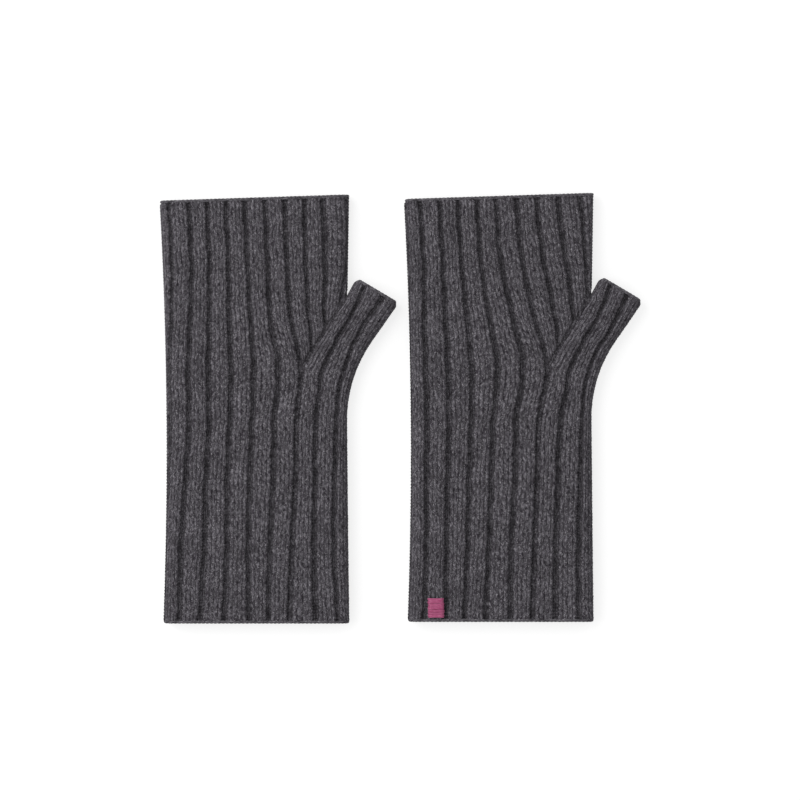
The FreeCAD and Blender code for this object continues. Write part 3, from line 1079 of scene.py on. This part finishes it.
@dataclass
class GloveMaker:
    """Builds a glove's pieces and fixes those of the hand to the glove's body; the thumb's pieces are fixed
    to none.

    Attributes:
        glove: the shapes.
        wool: finish of the ribbed knit.
        linking: finish of the seams' yarn.
        cast_off: finish of the edges' yarn.
        seam: the seams' chain.
        edge: the edges' chain.
        hand_cut: flat size of the hand's layers.
        thumb_cut: flat size of the thumb strip's layers.
    """

    glove: Glove
    wool: bpy.types.Material
    linking: bpy.types.Material
    cast_off: bpy.types.Material
    seam: Chain = Chain(across=0.75, through=0.6, loop=1.55)
    edge: Chain = Chain(across=0.8, through=1.25, loop=1.95)
    seam_inset: float = 0.8  # how far inside the outline a seam runs, in millimetres like the rest
    seam_margin: float = 1.2  # how far a seam stays off an open end
    crotch_margin: Point = (0.6, 0.4)  # how far it stays off the crotch, on the hand and the thumb
    corner_slack: float = 0.4  # how far it runs into the thumb's rounded corner
    edge_inset: float = 1.2  # how far inside the outer face an edge runs
    dip: float = 0.7  # how far an edge follows the knit down into a valley
    dip_width: float = 1.3  # half width of that dip
    proud: float = 0.2  # how far an edge stands out past the glove's outline
    mouth_out: float = 0.6  # how much further out the thumb opening's edge stands
    end_drop: float = 0.2  # how far below the rounding of the hand opening its edge takes its shape
    mouth_back: float = 0.004  # the same for the thumb opening, as a share of the strip
    spread: float = 0.5  # how much further out the hand opening's edge reaches at its sides
    little_spread: float = 0.4  # share of that on the little-finger side
    hand_cut: Cut = Cut((0.0975, 0.2083), 0.0162)
    thumb_cut: Cut = Cut((0.033, 0.178), 0.0050)
    fold_start: float = 45.6  # distances across the glove where the thumb's bend starts and ends
    fold_end: float = 56.0
    fold_height: float = 140.0

    def name(self, part: str) -> str:
        """Names a piece after its glove."""
        return f"{self.glove.side.value}_{part}"

    def on_hand(self, piece: bpy.types.Object, node: str, slot: str) -> bpy.types.Object:
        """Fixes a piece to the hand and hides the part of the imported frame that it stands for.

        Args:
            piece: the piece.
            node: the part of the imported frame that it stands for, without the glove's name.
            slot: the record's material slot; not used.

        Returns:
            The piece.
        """
        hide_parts(self.name(node))
        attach(piece, self.name("glove"))
        return piece

    def on_thumb(self, piece: bpy.types.Object, node: str, slot: str) -> bpy.types.Object:
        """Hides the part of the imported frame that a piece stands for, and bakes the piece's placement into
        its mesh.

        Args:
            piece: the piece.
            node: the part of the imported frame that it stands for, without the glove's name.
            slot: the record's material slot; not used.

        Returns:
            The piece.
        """
        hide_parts(self.name(node))
        start = tuple(float(v) for v in self.glove.world(self.fold_start, self.fold_height, 0.0))
        end = tuple(float(v) for v in self.glove.world(self.fold_end, self.fold_height, 0.0))
        self.name("glove")
        self.name("thumb")
        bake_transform(piece)
        return piece

    def layers(self) -> list[bpy.types.Object]:
        """Builds the four layers of knit.

        Returns:
            The pieces.
        """
        glove, made, hands, strips = self.glove, [], [], []
        thickness = glove.outline.knit
        lining = Gauge(columns=1, purl_columns=1, rows=1)
        gauges = {Layer.PALM: Gauge(columns=2, rows=2), Layer.BACK: glove.gauge}
        for layer, gauge in gauges.items():
            faces = [glove.hand_grid(layer, gauge, 0.0), glove.hand_grid(layer, lining, thickness)]
            hand = mesh_piece(self.name(f"{layer.value}_knit"), faces, self.wool)
            made.append(self.on_hand(hand, f"{layer.value}_panel", "ribbed_wool"))
            faces = [glove.strip_grid(layer, gauge, 0.0), glove.strip_grid(layer, lining, thickness)]
            strip = mesh_piece(self.name(f"thumb_{layer.value}_knit"), faces, self.wool)
            made.append(self.on_thumb(strip, f"thumb_{layer.value}_panel", "ribbed_wool"))
            self.hand_cut.declare(hand, hands[-1:])
            self.thumb_cut.declare(strip, strips[-1:])
            hands.append(hand)
            strips.append(strip)
        return made

    def side_line(self, corners: np.ndarray, start: float) -> Line:
        """A seam's line along a side of the glove, at half its height.

        Args:
            corners: the side's points seen from above, with the glove's inside on the left.
            start: distance along them where the seam starts.

        Returns:
            What a chain follows.
        """
        path = Path(corners)
        whole = path.length()

        def line(along: np.ndarray) -> Frames:
            """Points and directions at distances along the seam."""
            flat = path.at((start + along) / whole)
            run = unit(np.gradient(flat, axis=0))
            out = np.stack([run[:, 1], -run[:, 0], np.zeros(len(run))], axis=1)
            points = self.glove.world(flat[:, 0], flat[:, 1], np.zeros(len(flat))) / MM
            return frames(points - self.seam_inset * out, out)

        return line

    def seams(self) -> list[bpy.types.Object]:
        """Builds the five seams that link back and palm.

        Returns:
            The pieces.
        """
        line, margin = self.glove.outline, self.seam_margin
        rounded = line.thumb_corner - self.corner_slack
        outer = line.thumb_outer()
        heights = np.linspace(line.little_top[1], 0.0, 80)
        little = np.stack([line.little_side(heights), heights], axis=1)
        share = np.linspace(0, 1, 400)[60:]  # past the wrist, where the side only runs outward
        split = float(np.interp(self.fold_start, outer.at(share)[:, 0], share)) * outer.length()
        hand = np.array([line.crotch, line.thumb_side_top])
        inner = np.array([line.mouth, line.crotch])
        off_hand, off_thumb = self.crotch_margin
        runs = (
            ("little_finger_side_seam", little, margin, Path(little).length() - 2 * margin, self.on_hand),
            ("wrist_side_seam", outer.corners, margin, split - margin, self.on_hand),
            ("hand_side_seam", hand, off_hand, Path(hand).length() - off_hand - margin, self.on_hand),
            ("thumb_outer_seam", outer.corners, split, outer.length() - split - rounded, self.on_thumb),
            ("thumb_inner_seam", inner, rounded, Path(inner).length() - rounded - off_thumb, self.on_thumb),
        )
        made = []
        for node, corners, start, length, fix in runs:
            follow = self.side_line(corners, start)
            piece = self.seam.build(self.name(f"{node}_stitches"), follow, length, False, self.linking)
            made.append(fix(piece, node, "linking_yarn"))
        return made

    def ring_line(self, section: Section, valleys: np.ndarray, place: Place) -> tuple[Line, float]:
        """An edge's line round the tube.

        Args:
            section: the tube's section there, of one row, at the edge's depth.
            valleys: shares of the way round at which the knit is sunk.
            place: turns distances across and heights into points of the frame, in millimetres.

        Returns:
            What a chain follows, and the length round.
        """
        length = float(2 * section.way()[0])

        def line(along: np.ndarray) -> Frames:
            """Points and directions at distances round the edge."""
            x, z, nx, nz = (part[0] for part in section.place(along[None, :]))
            apart = np.abs(along[:, None] / length - valleys[None, :])
            near = np.minimum(apart, 1 - apart).min(axis=1) * length
            low = self.dip * np.exp(-((near / self.dip_width) ** 2))
            points = place(x - nx * low, z - nz * low)
            ahead = place(x + 0.5 * nx - nx * low, z + 0.5 * nz - nz * low)
            out = unit(ahead - points)
            looped = np.vstack([points[-2:-1], points, points[1:2]])
            run = unit((looped[2:] - looped[:-2]) / 2)
            return points, out, unit(np.cross(out, run))

        return line, length

    def end_section(self, height: float, inset: float) -> Section:
        """The hand's cross-section just below the rounding of an end at a given height."""
        outline = self.glove.outline
        return self.glove.hand_section(np.array([height]) - outline.corner - self.end_drop, inset)

    def edges(self) -> list[bpy.types.Object]:
        """Builds the chains cast off round cuff, hand opening and thumb opening.

        Returns:
            The pieces.
        """
        glove, line, inset, in_by = self.glove, self.glove.outline, self.edge_inset, self.edge.across
        cuff, cuff_turn = glove.cuff_ring(inset)
        cuff_way = 2 * (cuff.way()[0] + (math.pi - 2) * inset)
        top_y = (line.little_top[1] + line.thumb_side_top[1]) / 2
        outer = self.end_section(top_y, 0.0)
        turn = glove.hand_lines(np.array([top_y]), outer)[0, : glove.repeats] % (2 * outer.way()[0])
        top = self.end_section(top_y, inset)
        left = self.end_section(line.little_top[1], inset).left - self.little_spread * self.spread
        top = Section(left, top.right + self.spread, top.half, top.side_round)
        end = np.ones(1)
        mouth, ends, along = glove.strip_section(end - self.mouth_back, inset)
        mouth_way = 2 * glove.strip_section(end - self.mouth_back, 0.0)[0].way()[0]
        thumb = glove.strip_lines(end)[0]
        thumb = np.concatenate([thumb, mouth_way - thumb])
        tip, lean = ends[0], along[0]

        def at_cuff(x: np.ndarray, z: np.ndarray) -> np.ndarray:
            """Points just inside the cuff's end."""
            return glove.world(x, np.full_like(x, in_by - self.proud), z) / MM

        def at_top(x: np.ndarray, z: np.ndarray) -> np.ndarray:
            """Points just inside the hand opening's end."""
            return glove.world(x, line.top(x) - in_by + self.proud, z) / MM

        def at_mouth(x: np.ndarray, z: np.ndarray) -> np.ndarray:
            """Points just inside the thumb opening's end."""
            back = in_by - self.mouth_out - self.proud
            across = tip[0] + lean[0] * x + lean[1] * back
            return glove.world(across, tip[1] + lean[1] * x - lean[0] * back, z) / MM

        runs = (
            ("cuff_edge", cuff, cuff_turn / cuff_way, at_cuff, self.on_hand),
            ("hand_opening_edge", top, turn / (2 * outer.way()[0]), at_top, self.on_hand),
            ("thumb_opening_edge", mouth, thumb / mouth_way, at_mouth, self.on_thumb),
        )
        made = []
        for node, section, valleys, place, fix in runs:
            follow, length = self.ring_line(section, valleys, place)
            piece = self.edge.build(self.name(f"{node}_chain"), follow, length, True, self.cast_off)
            made.append(fix(piece, node, "cast_off_yarn"))
        return made

    def build(self) -> list[bpy.types.Object]:
        """Builds the whole glove and returns its pieces."""
        return [*self.layers(), *self.seams(), *self.edges()]


@dataclass(frozen=True)
class Tack:
    """A plain block of satin stitches sewn over the right glove's cuff.

    Attributes:
        threads: stitches side by side.
        columns: mesh columns along one stitch.
        around: mesh rows over one stitch.
        fall: how far a stitch's ends go down into the knit, in millimetres.
        thick: half a thread's height, in millimetres.
        wide: half its width, as a share of a stitch's place.
        ragged: how far its ends stand off the block's edge, in millimetres.
    """

    threads: int = 12
    columns: int = 26
    around: int = 6
    fall: float = 1.5
    thick: float = 0.42
    wide: float = 0.53
    ragged: float = 0.25

    def build(self, material: bpy.types.Material) -> bpy.types.Object:
        """Lays the threads over the space of the frame's tack.

        Args:
            material: the thread.

        Returns:
            The piece.
        """
        low, high = (np.array(corner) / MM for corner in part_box("pink_tack"))
        rng = np.random.default_rng(4)
        pitch = (high[1] - low[1]) / self.threads
        grids = []
        share = np.linspace(0, 1, self.columns)
        turn = np.linspace(0, 2 * math.pi, self.around * 2 + 1)
        turn[-1] = 0.0
        for k in range(self.threads):
            ragged = rng.uniform(-self.ragged, self.ragged, 2)
            x0, x1 = low[0] + self.ragged + ragged[0], high[0] - self.ragged + ragged[1]
            bow = rng.uniform(-0.12, 0.12)
            y = low[1] + (k + 0.5) * pitch + bow * np.sin(math.pi * share)
            fat = self.wide * pitch * rng.uniform(0.88, 1.1)
            rise = np.clip(1 - np.abs(2 * share - 1) ** 7, 0, 1)
            z = high[2] - self.thick - self.fall * (1 - rise) + rng.uniform(-0.05, 0.05)
            x = x0 + (x1 - x0) * share
            sides = y[:, None] + fat * np.cos(turn)[None, :]
            heights = z[:, None] + self.thick * np.sin(turn)[None, :]
            points = np.stack([np.broadcast_to(x[:, None], sides.shape), sides, heights], axis=-1)
            stitch = np.stack(np.broadcast_arrays(turn[None, :] / 2 + 7.0 * k, 4 * x[:, None]), axis=-1)
            # Each thread's lower half is marked sunk, and its material colours it darker as painted shade
            # between the threads.
            sunk = np.broadcast_to(0.5 - 0.5 * np.sin(turn)[None, :], points.shape[:2])
            grids.append(Grid(points * MM, stitch, sunk, inward=True))
        piece = mesh_piece("pink_satin_block", grids, material)
        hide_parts("pink_tack")
        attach(piece, "right_glove")
        return piece


def add_node(
    tree: bpy.types.NodeTree, kind: str, inputs: dict[int | str, object], **settings: object
) -> bpy.types.Node:
    """Adds a node with its settings, values and links.

    Args:
        tree: the tree it goes in.
        kind: its type, without the ShaderNode that every one starts with.
        inputs: for each input, a value or the socket that feeds it.
        **settings: the node's own settings.

    Returns:
        The node.
    """
    node = tree.nodes.new("ShaderNode" + kind)
    for name, value in settings.items():
        setattr(node, name, value)
    for key, value in inputs.items():
        if isinstance(value, bpy.types.NodeSocket):
            tree.links.new(value, node.inputs[key])
        else:
            node.inputs[key].default_value = value
    return node


def start_material(name: str) -> tuple[bpy.types.Material, bpy.types.NodeTree]:
    """Makes an empty node material.

    Args:
        name: what it is.

    Returns:
        The material and its tree.
    """
    material = bpy.data.materials.new(name)
    material.use_nodes = True
    material.node_tree.nodes.clear()
    return material, material.node_tree


@dataclass(frozen=True)
class HeatherWool:
    """Heathered lambswool yarn, spun from fibres dyed apart, so a stitch is never one colour.

    Attributes:
        name: what the material is called.
        dark: the darkest fibres.
        mid: most of them.
        light: the pale ones.
        speck: single undyed ones that lie on top.
        sunk_shade: how dark the painted shade makes the knit at a valley's floor.
        pale_share: share of pale fibres, from 0 to 1.
        gap_shade: how dark the painted shade in the furrow between two wales makes the knit.
    """

    name: str = "heathered charcoal wool"
    dark: str = "#343036"
    mid: str = "#504d52"
    light: str = "#7b787e"
    speck: str = "#a5a2a7"
    sunk_shade: float = 0.66
    pale_share: float = 0.5
    gap_shade: float = 0.62

    def make(self) -> bpy.types.Material:
        """Builds the material."""
        material, tree = start_material(self.name)
        stitch = add_node(tree, "UVMap", {}, uv_map="knit")
        parts = add_node(tree, "SeparateXYZ", {0: stitch.outputs[0]})
        # A stitch's legs lean away from the wale's middle, and the fibres lie along them.
        place = add_node(tree, "Math", {0: parts.outputs[0]}, operation="FRACT")
        off = add_node(tree, "Math", {0: place.outputs[0], 1: 0.5}, operation="SUBTRACT")
        off = add_node(tree, "Math", {0: off.outputs[0]}, operation="ABSOLUTE")
        slant = add_node(
            tree, "Math", {0: off.outputs[0], 1: -LEG_SLANT, 2: parts.outputs[1]}, operation="MULTIPLY_ADD"
        )
        yarn = add_node(tree, "CombineXYZ", {0: parts.outputs[0], 1: slant.outputs[0]})
        where = add_node(tree, "TexCoord", {})

        # One wale is about 2 mm and one course 1.55 mm, so these run from 1.5 mm down to 0.3 mm.
        colour: bpy.types.NodeSocket | None = None
        for layer, (stretch, low, high, share, code) in enumerate(
            (
                ((1.3, 0.5, 1.0), 0.34, 0.58, 1.0, self.mid),
                ((2.6, 0.9, 1.0), 0.5 - 0.06 * self.pale_share, 0.66, 0.85, self.light),
                ((3.9, 2.9, 1.0), 0.585, 0.65, 0.75, self.speck),
                ((3.3, 2.3, 1.0), 0.56, 0.64, 0.75, self.dark),
            )
        ):
            laid = add_node(tree, "VectorMath", {0: yarn.outputs[0], 1: stretch}, operation="MULTIPLY")
            fibres = add_node(
                tree,
                "TexNoise",
                {"Vector": laid.outputs[0], "W": 3.7 * layer, "Scale": 1.0, "Detail": 2.0, "Roughness": 0.6},
                noise_dimensions="4D",
            )
            amount = add_node(
                tree,
                "MapRange",
                {0: fibres.outputs[0], 1: low, 2: high, 3: 0.0, 4: share},
                interpolation_type="SMOOTHSTEP",
            )
            under = colour if colour is not None else srgb(self.dark)
            mixed = add_node(tree, "Mix", {0: amount.outputs[0], 6: under, 7: srgb(code)}, data_type="RGBA")
            colour = mixed.outputs[2]

        # Each stitch gets its own random tone, lighter or darker; painted shade darkens the furrow between
        # two wales, and the wale's middle is painted a little lighter.
        half_stitch = add_node(
            tree, "VectorMath", {0: yarn.outputs[0], 1: (2.0, 1.0, 1.0)}, operation="MULTIPLY"
        )
        cell = add_node(tree, "VectorMath", {0: half_stitch.outputs[0]}, operation="FLOOR")
        lot = add_node(tree, "TexWhiteNoise", {"Vector": cell.outputs[0]}, noise_dimensions="3D")
        stitch_shade = add_node(tree, "MapRange", {0: lot.outputs[0], 3: 0.8, 4: 1.22})
        furrow = add_node(
            tree,
            "MapRange",
            {0: off.outputs[0], 1: 0.28, 2: 0.48, 3: 1.06, 4: self.gap_shade},
            interpolation_type="SMOOTHSTEP",
        )
        stitched = add_node(
            tree, "Math", {0: stitch_shade.outputs[0], 1: furrow.outputs[0]}, operation="MULTIPLY"
        )

        # The dye lots blend unevenly over about a centimetre, the painted shade in the valleys changes in
        # patches of about two millimetres, and the fuzz on the yarn is finer than half of one.
        mottle, shade_patches, fuzz = (
            add_node(
                tree,
                "TexNoise",
                {"Vector": where.outputs["Object"], "Scale": scale, "Detail": detail, "Roughness": rough},
            )
            for scale, detail, rough in ((95.0, 1.0, 0.5), (420.0, 1.0, 0.6), (2600.0, 2.0, 0.7))
        )
        uneven = add_node(tree, "MapRange", {0: mottle.outputs[0], 1: 0.3, 2: 0.7, 3: 0.87, 4: 1.13})
        # Painted shade: the deeper the knit lies in a valley, the darker it is coloured, unevenly in
        # patches.
        depth = add_node(tree, "Attribute", {}, attribute_name="sunk")
        floor_shade = add_node(
            tree,
            "MapRange",
            {0: shade_patches.outputs[0], 1: 0.35, 2: 0.65, 3: 1.3 * self.sunk_shade, 4: 0.7 * self.sunk_shade},
        )
        deep = add_node(
            tree, "MapRange", {0: depth.outputs[2], 1: 0.0, 2: 1.0, 3: 1.0, 4: floor_shade.outputs[0]}
        )
        shade = add_node(tree, "Math", {0: uneven.outputs[0], 1: deep.outputs[0]}, operation="MULTIPLY")
        shade = add_node(tree, "Math", {0: shade.outputs[0], 1: stitched.outputs[0]}, operation="MULTIPLY")
        shaded = add_node(tree, "VectorMath", {0: colour, "Scale": shade.outputs[0]}, operation="SCALE")
        bump = add_node(tree, "Bump", {"Strength": 0.45, "Distance": 0.00025, "Height": fuzz.outputs[0]})
        # Wool scatters light at its fibres' tips: matt, with a soft pale sheen at grazing angles.
        shader = add_node(
            tree,
            "BsdfPrincipled",
            {
                "Base Color": shaded.outputs[0],
                "Roughness": 0.93,
                "Specular IOR Level": 0.18,
                "Sheen Weight": 0.16,
                "Sheen Roughness": 0.5,
                "Sheen Tint": srgb("#c9c4cc"),
                "Normal": bump.outputs[0],
            },
        )
        add_node(tree, "OutputMaterial", {"Surface": shader.outputs[0]})
        return material


@dataclass(frozen=True)
class SatinThread:
    """Mercerised rayon embroidery thread, laid side by side, so it shines along each thread.

    Attributes:
        deep: painted shade, the colour of each thread's lower side, where it meets the next.
        face: colour on them.
        glint: colour where the twist catches the light.
    """

    deep: str = "#75224c"
    face: str = "#b24a79"
    glint: str = "#cf7ba0"

    def make(self) -> bpy.types.Material:
        """Builds the material."""
        material, tree = start_material("pink rayon satin stitch")
        where = add_node(tree, "TexCoord", {})
        laid = add_node(
            tree, "VectorMath", {0: where.outputs["Object"], 1: (450.0, 2600.0, 1.0)}, operation="MULTIPLY"
        )
        twist = add_node(tree, "TexNoise", {"Vector": laid.outputs[0], "Scale": 1.0, "Detail": 2.0})
        amount = add_node(tree, "MapRange", {0: twist.outputs[0], 1: 0.4, 2: 0.7, 3: 0.0, 4: 0.8})
        face = add_node(
            tree, "Mix", {0: amount.outputs[0], 6: srgb(self.face), 7: srgb(self.glint)}, data_type="RGBA"
        )
        # Painted shade: the lower side of each thread, between it and the next, takes the darker colour.
        depth = add_node(tree, "Attribute", {}, attribute_name="sunk")
        low = add_node(tree, "MapRange", {0: depth.outputs[2], 1: 0.25, 2: 0.6, 3: 0.0, 4: 1.0})
        colour = add_node(
            tree, "Mix", {0: low.outputs[0], 6: face.outputs[2], 7: srgb(self.deep)}, data_type="RGBA"
        )
        bump = add_node(tree, "Bump", {"Strength": 0.3, "Distance": 0.0001, "Height": twist.outputs[0]})
        shader = add_node(
            tree,
            "BsdfPrincipled",
            {
                "Base Color": colour.outputs[2],
                "Roughness": 0.42,
                "Specular IOR Level": 0.45,
                "Anisotropic": 0.5,
                "Sheen Weight": 0.1,
                "Normal": bump.outputs[0],
            },
        )
        add_node(tree, "OutputMaterial", {"Surface": shader.outputs[0]})
        return material


@dataclass(frozen=True)
class Studio:
    """A white table top under soft light, and a long lens straight above it.

    Attributes:
        table: colour of the table.
        table_half: half its side, in metres.
        middle: the point the lens looks at, in millimetres.
        seen: width of the picture at the gloves' half height, in metres.
        distance: from there to the lens.
        sky: strength of the light from all round.
        lamp_power: watts of the lamp.
        lamp_place: where it hangs, in metres.
        lamp_size: side of its square, in metres.
        glow: how much of the table's white is there for the lens alone, which pales the shadow.
    """

    table: str = "#b3b3b3"
    table_half: float = 2.5
    middle: Point = (-0.8, 4.0)
    seen: float = 0.392
    distance: float = 3.0
    sky: float = 0.5
    lamp_power: float = 13.0
    lamp_place: tuple[float, float, float] = (-1.0, 0.45, 1.1)
    lamp_size: float = 1.5
    glow: float = 0.74

    def lay_table(self) -> None:
        """Lays the table top, white to the lens and shadowed by what lies on it."""
        material, tree = start_material("white melamine table top")
        ray = add_node(tree, "LightPath", {})
        grain = add_node(tree, "TexCoord", {})
        speckle = add_node(tree, "TexNoise", {"Vector": grain.outputs["Object"], "Scale": 900.0})
        bump = add_node(tree, "Bump", {"Strength": 0.05, "Distance": 0.0001, "Height": speckle.outputs[0]})
        face = add_node(tree, "BsdfDiffuse", {"Color": srgb(self.table), "Normal": bump.outputs[0]})
        lift = add_node(tree, "Math", {0: ray.outputs["Is Camera Ray"], 1: self.glow}, operation="MULTIPLY")
        glow = add_node(tree, "Emission", {"Color": srgb("#ffffff"), "Strength": lift.outputs[0]})
        both = add_node(tree, "AddShader", {0: face.outputs[0], 1: glow.outputs[0]})
        add_node(tree, "OutputMaterial", {"Surface": both.outputs[0]})
        half = self.table_half
        mesh = bpy.data.meshes.new("table_top")
        ring = [(-half, -half), (half, -half), (half, half), (-half, half)]
        mesh.from_pydata([(x, y, -0.0002) for x, y in ring], [], [(0, 1, 2, 3)])
        mesh.materials.append(material)
        table = bpy.data.objects.new("table_top", mesh)
        bpy.context.scene.collection.objects.link(table)
        table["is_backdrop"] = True

    def light(self) -> None:
        """Sets the light from all round and hangs the lamp at the upper left."""
        world = bpy.data.worlds.new("studio")
        bpy.context.scene.world = world
        world.use_nodes = True
        tree = world.node_tree
        tree.nodes.clear()
        ray = add_node(tree, "LightPath", {})
        strength = add_node(
            tree, "MapRange", {0: ray.outputs["Is Camera Ray"], 1: 0.0, 2: 1.0, 3: self.sky, 4: 1.0}
        )
        sky = add_node(tree, "Background", {"Color": srgb("#ffffff"), "Strength": strength.outputs[0]})
        add_node(tree, "OutputWorld", {"Surface": sky.outputs[0]})
        lamp = bpy.data.lights.new("soft_box", "AREA")
        lamp.energy, lamp.size = self.lamp_power, self.lamp_size
        box = bpy.data.objects.new("soft_box", lamp)
        box.location = self.lamp_place
        box.rotation_euler = (-Vector(self.lamp_place)).to_track_quat("-Z", "Y").to_euler()
        bpy.context.scene.collection.objects.link(box)

    def point_camera(self) -> None:
        """Hangs the lens straight above the gloves, as the photograph was taken."""
        camera = bpy.data.cameras.new("overhead_lens")
        camera.sensor_width = 36.0
        camera.lens = camera.sensor_width * self.distance / self.seen
        holder = bpy.data.objects.new("overhead_lens", camera)
        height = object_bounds()[1][2] / 2 + self.distance
        holder.location = (self.middle[0] * MM, self.middle[1] * MM, height)
        bpy.context.scene.collection.objects.link(holder)
        bpy.context.scene.camera = holder


def main() -> None:
    """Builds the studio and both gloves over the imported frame."""
    logging.basicConfig(level=logging.INFO, format="%(message)s")
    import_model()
    bpy.context.scene.view_settings.view_transform = "Standard"
    studio = Studio()
    studio.lay_table()
    studio.light()
    studio.point_camera()
    wool = HeatherWool().make()
    linking = HeatherWool(name="charcoal linking yarn", sunk_shade=0.7, pale_share=0.3).make()
    pale = HeatherWool(name="charcoal cast-off yarn", mid="#625f64", light="#8b888e", pale_share=0.8)
    cast_off = pale.make()
    for side in Side:
        pieces = GloveMaker(Glove(side), wool, linking, cast_off).build()
        log.info("%s glove: %d pieces", side.value, len(pieces))
    block = Tack().build(SatinThread().make())
    log.info("%s: %d faces", block.name, len(block.data.polygons))


if __name__ == "__main__":
    main()
